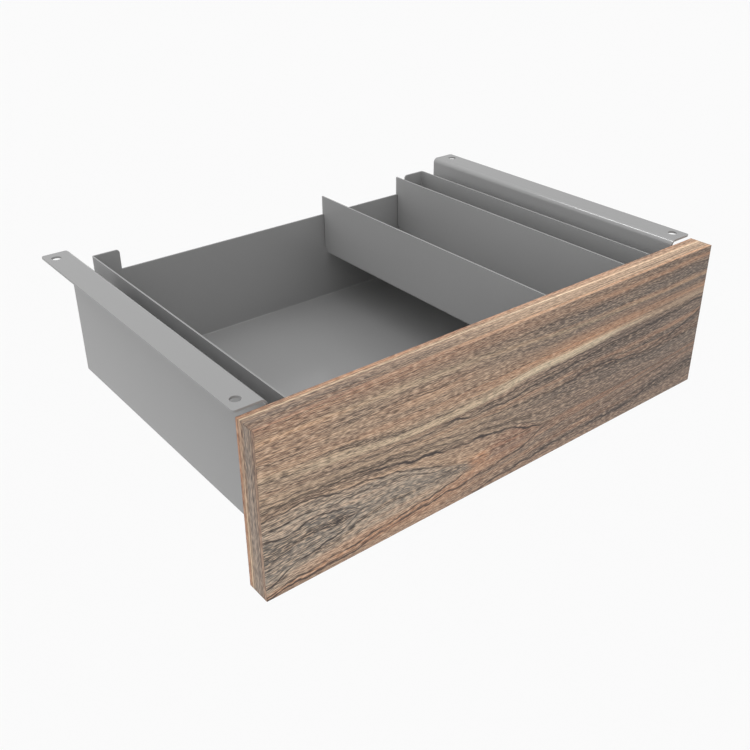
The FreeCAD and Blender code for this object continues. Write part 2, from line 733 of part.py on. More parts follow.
def block(name, x_low, x_high, y_low, y_high, z_low, z_high):
    """A plain board or band between six formulas."""
    box = doc.addObject("Part::Box", name)
    box.Label = name
    bind(box, "Length", f"({x_high}) - ({x_low})")
    bind(box, "Width", f"({y_high}) - ({y_low})")
    bind(box, "Height", f"({z_high}) - ({z_low})")
    place(box, x=x_low, y=y_low, z=z_low)
    nodes.append(box)


def drilled_board(name, y_low, y_high, hole_length):
    """A layer of the panel with the screws' pilot holes in its back."""
    body = new_body(name)
    back = f"-({y_high})"
    face = new_sketch(body, "XZ_Plane", height=back)
    low, high = f"{PANEL_LOW} + band_thickness", f"{PANEL_HIGH} - band_thickness"
    rectangle(face, f"-{BOARD_SIDE}", low, BOARD_SIDE, high)
    pad(body, face, f"({y_high}) - ({y_low})")
    holes = new_sketch(body, "XZ_Plane", height=back)
    for hole_x, hole_z in panel_screw_places() + tab_screw_places():
        circle(holes, hole_x, hole_z, "wood_screw_radius + pin_gap")
    pocket(body, holes, hole_length, both_ways=True)


def make_panel():
    """The laminated board: core, two faces and four edge bands."""
    core_back = f"{PANEL_BACK} - laminate_thickness"
    core_front = f"{PANEL_FRONT} + laminate_thickness"
    drilled_board("panel_core", core_front, core_back, "wood_screw_length * 2")
    drilled_board("panel_back_laminate", core_back, PANEL_BACK, "board_thickness")
    low, high = f"{PANEL_LOW} + band_thickness", f"{PANEL_HIGH} - band_thickness"
    block("panel_front_laminate", f"-{BOARD_SIDE}", BOARD_SIDE, PANEL_FRONT, core_front, low, high)
    full = (f"-{PANEL_SIDE}", PANEL_SIDE, PANEL_FRONT, PANEL_BACK)
    block("panel_top_band", *full, high, PANEL_HIGH)
    block("panel_bottom_band", *full, PANEL_LOW, low)
    between = (PANEL_FRONT, PANEL_BACK, low, high)
    block("panel_left_band", f"-{PANEL_SIDE}", f"-{BOARD_SIDE}", *between)
    block("panel_right_band", BOARD_SIDE, PANEL_SIDE, *between)


def write_nodes():
    """Check every object and write each sub-part to its own file."""
    doc.recompute()
    failed = [item.Name for item in doc.Objects if {"Invalid", "Error"} & set(item.State)]
    if failed:
        raise RuntimeError(f"failed objects: {failed}")
    os.makedirs("parts", exist_ok=True)
    for node in nodes:
        if node.Shape.isNull() or not node.Shape.isValid() or not node.Shape.Solids:
            raise RuntimeError(f"{node.Label} has no valid solid")
    for node in nodes:
        node.Shape.exportStep(f"parts/{node.Label}.step")
        box = node.Shape.BoundBox
        print(
            f"{node.Label:26s} solids {len(node.Shape.Solids):3d} volume {node.Shape.Volume:11.1f}"
            f"  x {box.XMin:8.2f} {box.XMax:8.2f}  y {box.YMin:8.2f} {box.YMax:8.2f}"
            f"  z {box.ZMin:8.2f} {box.ZMax:8.2f}"
        )


for side in SIDES:
    make_bracket(side)
    make_rails(side)
    make_cage(side, "outer", OUTER_BALL_X, OUTER_BALL_Z, "middle_back - cage_gap - cage_sheet")
    make_cage(side, "inner", INNER_BALL_X, INNER_BALL_Z, "middle_back + rail_sheet + cage_gap")
    make_slide_fixings(side)
    make_lever(side)
    make_bumper(side)
make_tray()
make_raised_tray()
make_panel()
make_panel_fixings()
write_nodes()
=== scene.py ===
import math

import bpy
from mathutils import Matrix, Vector


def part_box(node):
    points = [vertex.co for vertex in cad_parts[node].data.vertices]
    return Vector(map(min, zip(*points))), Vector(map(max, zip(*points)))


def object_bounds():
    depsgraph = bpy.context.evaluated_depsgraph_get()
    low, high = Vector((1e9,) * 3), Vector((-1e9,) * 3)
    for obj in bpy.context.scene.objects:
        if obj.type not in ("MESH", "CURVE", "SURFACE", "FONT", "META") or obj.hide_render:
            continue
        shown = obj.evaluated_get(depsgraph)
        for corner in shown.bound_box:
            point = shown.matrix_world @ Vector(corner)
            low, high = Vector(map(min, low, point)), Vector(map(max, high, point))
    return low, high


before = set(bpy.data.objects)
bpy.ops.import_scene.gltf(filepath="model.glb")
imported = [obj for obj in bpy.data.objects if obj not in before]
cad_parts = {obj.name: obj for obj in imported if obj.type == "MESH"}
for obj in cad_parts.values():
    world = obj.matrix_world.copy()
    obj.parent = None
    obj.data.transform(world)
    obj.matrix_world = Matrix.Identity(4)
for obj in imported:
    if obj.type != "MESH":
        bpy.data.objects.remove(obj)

cad_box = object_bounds()
scene = bpy.context.scene
scene.view_settings.view_transform = "Standard"
SIDES = ("left", "right")
MILLIMETRES = 1000.0        # in a metre

# The sky's brightness at the horizon, how it changes towards +X, and overhead.
SKY_SIDES = 0.86
SKY_TILT = -0.33
SKY_TOP = 1.22
# Between these heights of a direction the sky goes from the first brightness to the second.
SKY_TOP_BEGINS = 0.45
SKY_TOP_FULL = 0.90

FLOOR_BELOW = 3.0           # metres below the drawer, which hangs from a desk
FLOOR_HALF_SIDE = 90.0
# The floor's own brightness, and the lower one it falls to on the left between two places
# along X, in metres: it shades the drawer's left side a little.
FLOOR_ALBEDO = 0.915
FLOOR_FAR_LEFT = 0.27
FLOOR_SHADE_FROM = -5.5
FLOOR_SHADE_TO = -0.2

LAMP_WATTS = 9.0
LAMP_SIZE = (0.25, 0.55)
LAMP_PLACE = Vector((-0.25, 0.93, 1.62))    # it faces the origin


# ---------------------------------------------------------------- camera

CAMERA_PLACE = Vector((-0.3983, -0.5067, 0.2620))
CAMERA_AZIMUTH = math.radians(-38.69)
CAMERA_ELEVATION = math.radians(28.43)
CAMERA_ROLL = math.radians(-0.126)
CAMERA_LENS = 44.8          # millimetres, like the sensor's width
CAMERA_SENSOR = 36.0
CAMERA_SHIFT = (-0.0089, -0.0357)


def make_camera():
    """The camera looks down on the drawer from the front left."""
    level = math.cos(CAMERA_ELEVATION)
    back = Vector((
        math.sin(CAMERA_AZIMUTH) * level,
        -math.cos(CAMERA_AZIMUTH) * level,
        math.sin(CAMERA_ELEVATION),
    ))
    right = Vector((0, 0, 1)).cross(back).normalized()
    up = back.cross(right)
    turned_right = math.cos(CAMERA_ROLL) * right + math.sin(CAMERA_ROLL) * up
    turned_up = back.cross(turned_right)
    data = bpy.data.cameras.new("camera")
    data.lens = CAMERA_LENS
    data.sensor_width = CAMERA_SENSOR
    data.shift_x, data.shift_y = CAMERA_SHIFT
    data.clip_start = 0.01
    camera = bpy.data.objects.new("camera", data)
    turn = Matrix((turned_right, turned_up, back)).transposed().to_4x4()
    camera.matrix_world = Matrix.Translation(CAMERA_PLACE) @ turn
    scene.collection.objects.link(camera)
    scene.camera = camera


# ---------------------------------------------------------------- node helpers


def linear(red, green, blue):
    """A colour in screen levels from 0 to 255, as the linear values that a shader needs."""
    def channel(level):
        level /= 255.0
        return level / 12.92 if level <= 0.04045 else ((level + 0.055) / 1.055) ** 2.4
    return (channel(red), channel(green), channel(blue), 1.0)


class Shader:
    """A material's node tree, with a short way to add nodes and join them."""

    def __init__(self, name):
        self.material = bpy.data.materials.new(name)
        self.material.use_nodes = True
        self.tree = self.material.node_tree
        self.tree.nodes.clear()
        self.output = self.tree.nodes.new("ShaderNodeOutputMaterial")
        self.surface = self.tree.nodes.new("ShaderNodeBsdfPrincipled")
        self.tree.links.new(self.surface.outputs["BSDF"], self.output.inputs["Surface"])

    def put(self, socket, value):
        """Join a socket to another one, or set its value."""
        if isinstance(value, bpy.types.NodeSocket):
            self.tree.links.new(value, socket)
        else:
            socket.default_value = value

    def node(self, kind, inputs=(), **settings):
        """Add a node; settings are its own properties and inputs are its sockets."""
        made = self.tree.nodes.new(kind)
        for key, value in settings.items():
            setattr(made, key, value)
        for key, value in dict(inputs).items():
            self.put(made.inputs[key], value)
        return made

    def set(self, **values):
        """Set the surface's sockets, such as base_color or ior."""
        for key, value in values.items():
            socket = key.replace("_", " ").title().replace("Ior", "IOR")
            self.put(self.surface.inputs[socket], value)

    def math(self, operation, first, second=0.0):
        return self.node("ShaderNodeMath", {0: first, 1: second}, operation=operation).outputs[0]

    def remap(self, value, low, high, new_low=0.0, new_high=1.0, smooth=False):
        """Map low to new_low and high to new_high, and hold the ends beyond them."""
        made = self.node("ShaderNodeMapRange", {
            "Value": value, "From Min": low, "From Max": high,
            "To Min": new_low, "To Max": new_high,
        })
        made.interpolation_type = "SMOOTHSTEP" if smooth else "LINEAR"
        return made.outputs["Result"]

    def position(self):
        """X, Y and Z of the point in the object's own frame, in millimetres."""
        place = self.node("ShaderNodeTexCoord").outputs["Object"]
        scaled = self.node("ShaderNodeVectorMath", {0: place, "Scale": MILLIMETRES},
                           operation="SCALE")
        return self.node("ShaderNodeSeparateXYZ", {0: scaled.outputs[0]}).outputs

    def vector(self, x=0.0, y=0.0, z=0.0):
        return self.node("ShaderNodeCombineXYZ", {"X": x, "Y": y, "Z": z}).outputs[0]

    def noise(self, vector, scale=1.0, detail=2.0, roughness=0.5):
        made = self.node("ShaderNodeTexNoise", {
            "Vector": vector, "Scale": scale, "Detail": detail, "Roughness": roughness,
        })
        return made.outputs["Fac"]

    def ramp(self, factor, stops):
        """A colour ramp with (place, colour) stops; colours are (red, green, blue) on a screen."""
        made = self.node("ShaderNodeValToRGB", {"Fac": factor})
        points = made.color_ramp.elements
        while len(points) < len(stops):
            points.new(1.0)
        for point, (place, colour) in zip(points, stops):
            point.position = place
            point.color = linear(*colour)
        return made.outputs["Color"]

    def curve(self, value, points):
        """A smooth curve through (in, out) points, both from 0 to 1."""
        made = self.node("ShaderNodeFloatCurve", {"Value": value})
        line = made.mapping.curves[0]
        while len(line.points) < len(points):
            line.points.new(0.5, 0.5)
        for point, place in zip(line.points, points):
            point.location = place
        made.mapping.update()
        return made.outputs[0]

    def mix(self, factor, first, second, blend="MIX"):
        """Blend two colours; 6 and 7 are the colour sockets among all kinds of socket."""
        made = self.node("ShaderNodeMix", data_type="RGBA", blend_type=blend)
        self.put(made.inputs["Factor"], factor)
        self.put(made.inputs[6], first)
        self.put(made.inputs[7], second)
        return made.outputs[2]

    def with_painted_light(self, colour, shade):
        """The colour times a plain number; used to paint light and shade along a board."""
        grey = self.node("ShaderNodeCombineColor", {0: shade, 1: shade, 2: shade}).outputs[0]
        return self.mix(1.0, colour, grey, blend="MULTIPLY")

    def bump(self, height, distance, strength):
        """Relief on the surface; the distance is in metres."""
        made = self.node("ShaderNodeBump", {
            "Height": height, "Distance": distance, "Strength": strength,
        })
        self.put(self.surface.inputs["Normal"], made.outputs[0])


def dress(node, shader):
    """Give a CAD node's mesh one material."""
    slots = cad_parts[node].data.materials
    slots.clear()
    slots.append(shader.material)


# ---------------------------------------------------------------- materials


def grey_paint():
    """Smooth satin powder coat: a faint orange peel and a slight change of tone."""
    paint = Shader("grey_paint")
    x, y, z = paint.position()[:3]
    place = paint.vector(x, y, z)
    tone = paint.noise(place, scale=0.012, detail=2.0)
    speck = paint.noise(place, scale=2.4, detail=3.0)
    colour = paint.mix(tone, linear(155, 155, 155), linear(158, 158, 158))
    paint.set(
        base_color=colour,
        roughness=paint.remap(speck, 0.3, 0.7, 0.15, 0.18),
        ior=1.5,
    )
    peel = paint.noise(place, scale=0.55, detail=2.0)
    paint.bump(peel, distance=0.00001, strength=0.06)
    return paint


def board_box():
    """The whole panel, edge bands included."""
    boxes = [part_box(f"panel_{side}_band") for side in ("top", "bottom", "left", "right")]
    low = Vector([min(low[axis] for low, _ in boxes) for axis in range(3)])
    high = Vector([max(high[axis] for _, high in boxes) for axis in range(3)])
    return low, high


PANEL_BOX = board_box()
RING_COLOUR = linear(58, 46, 41)
RING_FADE = 20.0            # millimetres over which a ring line fades in and out
GUIDE_GAP = 0.4             # least distance between two guides, in millimetres
LEVEL_SHARE = 0.45          # how much a fibre follows the guides; the rest runs straight


class Grain:
    """Flowing wood grain between guide lines that run along a board.

    Each guide is a list of (along, down) places in millimetres with the level that the grain
    has on it; between two guides the level changes evenly, so that rings and streaks follow
    the guides, close round a knot and meet in pointed arches.
    """

    def __init__(self, shader, along, down, length, height, guides, waver):
        self.shader = shader
        self.along = along
        self.down = down
        part = shader.math("DIVIDE", along, length)
        lines = []
        for _, places in guides:
            line = shader.curve(part, [(a / length, d / height) for a, d in places])
            lines.append(shader.math("MULTIPLY", line, height))
        self.lines = {mark: line for (mark, _), line in zip(guides, lines)}
        level = guides[0][0]
        for (low, _), (high, _), upper, lower in zip(guides, guides[1:], lines, lines[1:]):
            lower = shader.math("MAXIMUM", lower, shader.math("ADD", upper, GUIDE_GAP))
            level = shader.math("ADD", level, shader.remap(down, upper, lower, 0.0, high - low))
        # The level wanders a little, so that streaks aren't quite parallel to the guides.
        wander = shader.noise(
            shader.vector(
                shader.math("MULTIPLY", along, 0.022),
                shader.math("MULTIPLY", level, 0.07),
            ),
            detail=4.0, roughness=0.55,
        )
        self.level = shader.math("ADD", level, shader.remap(wander, 0.0, 1.0, -waver, waver))
        # Ring lines waver on their own by a slow wave and a quick one, in millimetres.
        slow, quick = (
            shader.vector(
                shader.math("MULTIPLY", along, pace),
                shader.math("MULTIPLY", down, pace),
            )
            for pace in (0.05, 0.16)
        )
        waves = shader.math(
            "ADD",
            shader.remap(shader.noise(slow, detail=3.0), 0.0, 1.0, -4.0, 4.0),
            shader.remap(shader.noise(quick), 0.0, 1.0, -0.8, 0.8),
        )
        self.wandered = shader.math("ADD", down, waves)
        # They also fade here and there.
        self.fade = shader.remap(shader.noise(quick, scale=0.5, detail=1.0), 0.34, 0.50, 0.55, 1.0)
        # Fibres keep a more even width than the rings do where the guides draw together.
        self.fibre = shader.math(
            "ADD",
            shader.math("MULTIPLY", self.level, LEVEL_SHARE),
            shader.math("MULTIPLY", down, 1.0 - LEVEL_SHARE),
        )

    def streaks(self, stretch, fineness, seed=0.0, detail=3.0, roughness=0.6, fibre=True):
        """Noise drawn out along the grain; fineness is the number of streaks in a millimetre."""
        shader = self.shader
        across = self.fibre if fibre else self.level
        place = shader.vector(
            shader.math("MULTIPLY", self.along, fineness / stretch),
            shader.math("MULTIPLY", across, fineness),
            seed,
        )
        return shader.noise(place, detail=detail, roughness=roughness)

    def ring(self, level, below, start, end, width, amount):
        """A thin dark line along one guide, which fades in and out on its way."""
        shader = self.shader
        middle = shader.math("ADD", self.lines[level], float(below))
        offset = shader.math("SUBTRACT", self.wandered, middle)
        line = shader.remap(shader.math("ABSOLUTE", offset), width, width * 0.25, smooth=True)
        ends = shader.math(
            "MULTIPLY",
            shader.remap(self.along, start, start + RING_FADE),
            shader.remap(self.along, end, end - RING_FADE),
        )
        fade = shader.math("MULTIPLY", self.fade, amount)
        return shader.math("MULTIPLY", shader.math("MULTIPLY", line, fade), ends)

    def spot(self, along, down, half_length, half_height, core=0.35):
        """One at the middle of an oval patch, falling to nothing at its rim."""
        shader = self.shader
        u = shader.math("DIVIDE", shader.math("SUBTRACT", self.along, along), half_length)
        v = shader.math("DIVIDE", shader.math("SUBTRACT", self.down, down), half_height)
        squares = shader.math("ADD", shader.math("MULTIPLY", u, u), shader.math("MULTIPLY", v, v))
        away = shader.math("SQRT", squares)
        return shader.remap(away, 1.0, core, smooth=True)


# The front's guides, with the levels that FACE_RINGS and the tones refer to.
FACE_GUIDES = [
    (0, [(0, 0), (400, 0)]),
    (14, [(0, 8), (80, 9), (155, 12), (200, 16), (240, 21), (320, 23), (400, 22)]),
    (40, [(0, 33), (40, 38), (115, 47), (165, 46), (210, 41), (250, 39), (325, 37.5), (400, 37)]),
    (50, [(0, 42), (75, 50), (137, 51), (175, 54), (225, 51), (300, 47), (362, 44), (400, 42)]),
    (58, [(0, 46), (75, 53), (137, 59), (187, 63), (225, 65), (275, 60), (325, 66), (350, 65),
          (400, 52)]),
    (62, [(0, 49), (75, 55), (187, 67), (225, 71), (300, 74), (340, 77), (370, 80), (400, 79)]),
    (66, [(0, 53), (75, 57), (137, 65), (187, 72), (225, 78), (270, 83), (300, 86), (350, 84),
          (400, 80)]),
    (70, [(0, 56.5), (40, 56), (75, 59.5), (100, 64), (137, 70), (187, 77), (215, 84), (228, 89),
          (300, 86.5), (400, 80.5)]),
    (75, [(0, 60), (28, 59), (60, 64), (100, 70), (125, 78), (150, 87), (164, 91.8),
          (228, 89.5), (400, 81)]),
    (78, [(0, 67), (28, 68), (60, 70), (100, 77), (122, 83), (150, 88.5), (164, 92.1),
          (400, 81.2)]),
    (81, [(0, 74), (22, 75.5), (32, 73), (50, 74), (62, 79.5), (69, 84), (110, 86), (166, 92.4),
          (400, 81.4)]),
    (87, [(0, 107), (10, 104), (22, 98), (34, 96), (50, 94), (61, 89.5), (69, 84.5), (110, 88),
          (166, 92.8), (400, 81.8)]),
    (93, [(0, 112.5), (60, 107), (110, 103), (140, 98), (162, 93.4), (400, 82.2)]),
    (98, [(0, 114.5), (60, 111.5), (100, 108), (140, 104), (180, 102), (210, 97), (228, 90.5),
          (300, 87), (400, 82.6)]),
    (102, [(0, 115), (60, 113), (100, 111), (140, 108), (225, 99), (270, 92), (300, 88),
           (400, 83)]),
    (106, [(0, 115.4), (62, 114.2), (140, 111), (225, 103), (300, 96), (370, 88), (400, 85)]),
    (110, [(0, 115.7), (100, 115), (175, 114), (250, 107), (312, 107), (350, 101), (375, 96.5),
           (400, 97)]),
    (116, [(0, 116), (400, 116)]),
]
# Dark ring lines: the guide's level, how far below it, from where to where, width and strength.
FACE_RINGS = [
    (50, 0, 120, 420, 1.0, 0.90), (58, 0, 215, 420, 1.1, 0.90), (62, 0, -20, 200, 0.8, 0.65),
    (66, 0, -20, 215, 0.8, 0.75), (70, 0, 60, 238, 1.2, 0.98), (75, 0, -20, 150, 1.0, 0.90),
    (78, 0, -20, 110, 0.8, 0.80), (81, 0, -20, 78, 1.0, 0.95), (87, 0, -20, 78, 1.0, 0.95),
    (93, 0, -20, 170, 1.1, 0.90), (98, 0, -20, 238, 1.1, 0.90), (110, 0, 150, 420, 1.1, 0.90),
    (14, 0, 130, 330, 0.6, 0.35), (40, 5, 60, 330, 0.8, 0.80), (50, -3, 200, 420, 0.7, 0.60),
    (50, 4, 140, 380, 0.7, 0.70), (58, 4, 250, 420, 0.8, 0.65), (66, 4, 20, 170, 0.7, 0.65),
    (70, -3.5, 90, 230, 0.7, 0.65), (75, 3, 10, 120, 0.7, 0.60), (14, 6, 40, 250, 0.6, 0.40),
    (14, 12, -20, 180, 0.6, 0.45), (110, -4, 180, 380, 0.7, 0.55), (93, 3, 0, 150, 0.7, 0.65),
    (58, -3, 0, 150, 0.7, 0.55), (0, 10, 180, 420, 0.6, 0.50), (0, 4, 250, 420, 0.6, 0.50),
    (62, 0, 260, 420, 0.7, 0.50), (66, 0, 240, 400, 0.6, 0.45), (102, 0, 200, 400, 0.6, 0.45),
    (106, 0, 150, 400, 0.7, 0.50), (81, 4, -20, 72, 0.6, 0.55), (81, 7.5, 12, 68, 0.6, 0.50),
    (87, -4, -20, 72, 0.6, 0.55), (87, -8, 18, 68, 0.6, 0.50), (14, -6, 60, 300, 0.5, 0.35),
]
# Tones at these levels, at the left and the right end of the board.
FACE_LEFT_TONES = [
    (0, (166, 128, 104)), (5, (176, 136, 110)), (9, (150, 122, 102)), (13, (172, 144, 120)),
    (15, (192, 168, 140)), (18, (164, 139, 118)), (25, (184, 156, 131)), (31, (160, 131, 109)),
    (35, (186, 158, 132)), (38.5, (208, 184, 154)), (41, (208, 184, 154)), (43.5, (172, 147, 124)),
    (48, (164, 140, 119)), (52, (174, 149, 126)), (57, (188, 161, 134)), (62, (168, 143, 121)),
    (66, (198, 171, 142)), (70, (162, 137, 116)), (74, (200, 166, 136)), (76, (174, 158, 141)),
    (80, (170, 157, 142)), (82, (146, 138, 128)), (84, (134, 127, 120)), (86, (146, 138, 128)),
    (88, (172, 158, 142)), (92, (168, 148, 129)), (94, (204, 156, 122)), (98, (198, 149, 116)),
    (101, (158, 133, 113)), (105, (196, 155, 124)), (110, (164, 134, 113)), (116, (174, 144, 120)),
]
FACE_RIGHT_TONES = [
    (0, (148, 122, 103)), (4, (156, 126, 104)), (8, (120, 104, 93)), (12, (114, 101, 91)),
    (14, (176, 154, 127)), (15.5, (126, 107, 94)), (20, (126, 109, 97)), (25, (164, 131, 107)),
    (30, (180, 138, 107)), (33, (200, 148, 112)), (36, (186, 146, 115)), (38.5, (238, 212, 178)),
    (41, (242, 220, 188)), (43, (146, 123, 106)), (47, (140, 118, 103)), (50, (112, 96, 86)),
    (53, (136, 116, 102)), (57, (108, 94, 85)), (60, (116, 102, 92)), (64, (140, 117, 101)),
    (68, (122, 104, 92)), (72, (160, 121, 96)), (78, (164, 122, 96)), (93, (154, 118, 95)),
    (98, (138, 116, 101)), (102, (130, 112, 99)), (105, (150, 120, 100)), (107, (140, 115, 99)),
    (109, (118, 99, 87)), (111, (108, 91, 80)), (113, (136, 114, 99)), (116, (140, 118, 102)),
]


ORANGE_STREAK = linear(222, 160, 116)
GREY_STREAK = linear(104, 92, 84)
PALE_STREAK = linear(240, 202, 164)
DARK_STREAK = linear(60, 48, 43)
PALE_FIBRE = linear(248, 216, 184)
DARK_FIBRE = linear(48, 38, 34)
FINE_RING = linear(56, 44, 39)
PORE = linear(46, 36, 32)


def two_toned(wood, colour, noise, near, far, pale, dark):
    """Pale streaks where the noise is above a half, and dark ones where it is below.

    A streak begins at near from a half and is at full strength from far on; pale and dark
    each give a tone and that strength.
    """
    for sign, (tone, amount) in ((1, pale), (-1, dark)):
        mask = wood.remap(noise, 0.5 + sign * near, 0.5 + sign * far, 0.0, amount)
        colour = wood.mix(mask, colour, tone)
    return colour


def add_fibres(wood, grain, colour, strength):
    """Fine dark pores and pale fibres along the grain, over soft broad streaks."""
    def times(amount):
        return wood.math("MULTIPLY", strength, amount)

    broad = grain.streaks(stretch=60.0, fineness=0.14, seed=3.0)
    colour = two_toned(wood, colour, broad, near=0.02, far=0.20,
                       pale=(ORANGE_STREAK, 0.42), dark=(GREY_STREAK, 0.36))
    # Seed, streaks in a millimetre, stretch, half width of a line, and how strong it is.
    contours = (
        (5.0, 0.09, 70.0, 0.022, 0.75),
        (17.0, 0.17, 60.0, 0.024, 0.65),
        (29.0, 0.36, 60.0, 0.034, 0.45),
    )
    for seed, fineness, stretch, width, amount in contours:
        rings = grain.streaks(stretch, fineness, seed, detail=1.0, roughness=0.4, fibre=False)
        offset = wood.math("ABSOLUTE", wood.math("SUBTRACT", rings, 0.5))
        fade = wood.remap(grain.streaks(30.0, 0.14, seed + 2.0, detail=1.0), 0.42, 0.58, 0.0, 1.0)
        line = wood.remap(offset, width, width * 0.35, 0.0, amount)
        colour = wood.mix(wood.math("MULTIPLY", line, fade), colour, FINE_RING)
    middle = grain.streaks(stretch=38.0, fineness=1.05, seed=11.0, detail=1.0)
    colour = two_toned(wood, colour, middle, near=0.02, far=0.20,
                       pale=(PALE_STREAK, times(0.32)), dark=(DARK_STREAK, times(0.48)))
    fine = grain.streaks(stretch=9.0, fineness=1.85, seed=23.0, detail=1.0, roughness=0.5)
    colour = two_toned(wood, colour, fine, near=0.01, far=0.14,
                       pale=(PALE_FIBRE, times(0.58)), dark=(DARK_FIBRE, times(0.66)))
    pores = wood.remap(grain.streaks(stretch=24.0, fineness=1.3, seed=31.0, detail=1.0), 0.60, 0.67)
    colour = wood.mix(wood.math("MULTIPLY", pores, times(0.42)), colour, PORE)
    relief = wood.math("SUBTRACT", fine, wood.math("MULTIPLY", pores, 0.7))
    return colour, fine, relief


def face_grain(wood, x, z):
    """The panel's front: a cream streak, an eye at the left and pointed arches from it."""
    low, high = PANEL_BOX
    along = wood.math("SUBTRACT", x, low.x * MILLIMETRES)
    down = wood.math("SUBTRACT", high.z * MILLIMETRES, z)
    length = (high.x - low.x) * MILLIMETRES
    height = (high.z - low.z) * MILLIMETRES
    grain = Grain(wood, along, down, length, height, FACE_GUIDES, waver=2.2)
    part = wood.math("DIVIDE", grain.level, height)
    left = wood.ramp(part, [(level / height, tone) for level, tone in FACE_LEFT_TONES])
    right = wood.ramp(part, [(level / height, tone) for level, tone in FACE_RIGHT_TONES])
    colour = wood.mix(wood.remap(along, 110.0, 270.0, smooth=True), left, right)
    # Painted shade: the front grows evenly darker towards its right end.
    colour = wood.with_painted_light(colour, wood.remap(along, 0.0, length, 1.04, 0.73))

    orange = linear(214, 152, 110)
    red = linear(142, 98, 78)
    dark = linear(60, 53, 49)
    grey = linear(150, 140, 128)
    cream = linear(226, 206, 174)
    brown = linear(158, 132, 110)
    # Middle along and down, half length, half height; then the tone and how strong it is.
    patches = [
        ((20, 86, 44, 17), grey, 0.70), ((105, 86, 34, 8), grey, 0.35),
        ((194, 88, 30, 12), red, 0.70), ((166, 90, 14, 6), orange, 0.85),
        ((300, 30, 90, 7), orange, 0.20), ((90, 106, 95, 8), orange, 0.45),
        ((230, 41, 80, 3.6), cream, 0.60), ((120, 22, 60, 8), orange, 0.25),
        ((20, 14, 50, 14), orange, 0.25), ((52, 83, 10, 6), dark, 0.75),
        ((31, 83, 7, 4.5), dark, 0.6), ((141, 89, 20, 3.2), dark, 0.65),
        ((310, 58, 70, 8), dark, 0.40), ((330, 102, 70, 5), dark, 0.30),
        ((0, 34, 60, 6), brown, 0.60), ((400, 37, 120, 8), brown, 0.80),
    ]
    for place, tone, amount in patches:
        mask = wood.math("MULTIPLY", grain.spot(*place), amount)
        colour = wood.mix(mask, colour, tone)
    strength = wood.remap(along, 0.0, length, 0.96, 0.36)
    colour, fine, relief = add_fibres(wood, grain, colour, strength)
    for line in FACE_RINGS:
        colour = wood.mix(grain.ring(*line), colour, RING_COLOUR)
    return colour, fine, relief


def band_grain(wood, along, across, width, length, guides, tones, painted_light_ends):
    """An edge band's grain along it; the tones change from one end of the band to the other.
    Painted light multiplies its colour by an even ramp between two values at its ends.
    """
    grain = Grain(wood, along, across, length, width, guides, waver=0.6)
    part = wood.math("DIVIDE", grain.level, width)
    start, end = (wood.ramp(part, side) for side in tones)
    colour = wood.mix(wood.remap(along, length * 0.15, length * 0.65, smooth=True), start, end)
    # Painted light: the colour is multiplied by an even ramp from one end value to the other.
    colour = wood.with_painted_light(colour, wood.remap(along, 0.0, length, *painted_light_ends))
    return add_fibres(wood, grain, colour, 0.65)


def finish(wood, colour, fine, relief):
    """Satin laminate: pores a little duller than the fibres round them."""
    wood.set(base_color=colour, roughness=wood.remap(fine, 0.3, 0.7, 0.62, 0.46))
    wood.bump(relief, distance=0.00012, strength=0.6)


def walnut_face(name):
    """The laminate of the board's front or back."""
    wood = Shader(name)
    x, _, z = wood.position()[:3]
    colour, fine, relief = face_grain(wood, x, z)
    finish(wood, colour, fine, relief)
    return wood


# The edge bands: guides, and tones across each band at its start and at its end. Across goes
# from 0 at the back to 1 at the front on the top band, and the other way on the upright ones.
TOP_GUIDES = [
    (0, [(0, 0), (400, 0)]),
    (5, [(0, 3.9), (150, 4.6), (260, 6.2), (400, 7.4)]),
    (18, [(0, 18), (400, 18)]),
]
TOP_TONES = (
    [
        (0.00, (150, 108, 84)), (0.05, (190, 136, 104)), (0.13, (196, 148, 114)),
        (0.19, (158, 122, 98)), (0.23, (172, 136, 108)), (0.26, (240, 212, 176)),
        (0.30, (236, 206, 170)), (0.33, (132, 108, 92)), (0.44, (140, 116, 98)),
        (0.50, (112, 94, 82)), (0.57, (130, 109, 94)), (0.66, (82, 67, 58)),
        (0.72, (112, 92, 78)), (0.80, (98, 79, 67)), (0.88, (156, 118, 93)),
        (1.00, (178, 128, 98)),
    ],
    [
        (0.00, (150, 112, 90)), (0.05, (186, 142, 114)), (0.13, (190, 154, 126)),
        (0.19, (154, 126, 106)), (0.23, (186, 154, 127)), (0.26, (246, 222, 190)),
        (0.30, (246, 220, 186)), (0.33, (164, 138, 117)), (0.44, (200, 170, 141)),
        (0.50, (142, 120, 103)), (0.57, (192, 162, 134)), (0.66, (150, 126, 108)),
        (0.72, (208, 174, 141)), (0.80, (158, 132, 112)), (0.88, (196, 154, 120)),
        (1.00, (174, 144, 120)),
    ],
)
FRONT_SKIN = 0.02           # millimetres; a band's point this near to the front is on its face
SIDE_GUIDES = [(0, [(0, 0), (116, 0)]), (18, [(0, 18), (116, 18)])]
SIDE_TONES = (
    [
        (0.00, (112, 90, 78)), (0.04, (182, 144, 120)), (0.10, (176, 142, 120)),
        (0.15, (114, 94, 82)), (0.22, (158, 138, 124)), (0.32, (132, 120, 112)),
        (0.44, (166, 150, 137)), (0.53, (134, 121, 112)), (0.64, (158, 140, 126)),
        (0.74, (182, 150, 126)), (0.79, (198, 168, 140)), (0.84, (176, 138, 112)),
        (0.92, (206, 146, 110)), (1.00, (196, 136, 102)),
    ],
    [
        (0.00, (112, 92, 80)), (0.04, (188, 150, 126)), (0.10, (180, 148, 126)),
        (0.15, (120, 101, 89)), (0.22, (164, 144, 130)), (0.32, (140, 126, 117)),
        (0.44, (174, 156, 142)), (0.53, (142, 128, 118)), (0.64, (166, 146, 130)),
        (0.73, (180, 150, 126)), (0.79, (248, 224, 190)), (0.84, (186, 144, 114)),
        (0.92, (210, 150, 114)), (1.00, (200, 142, 108)),
    ],
)


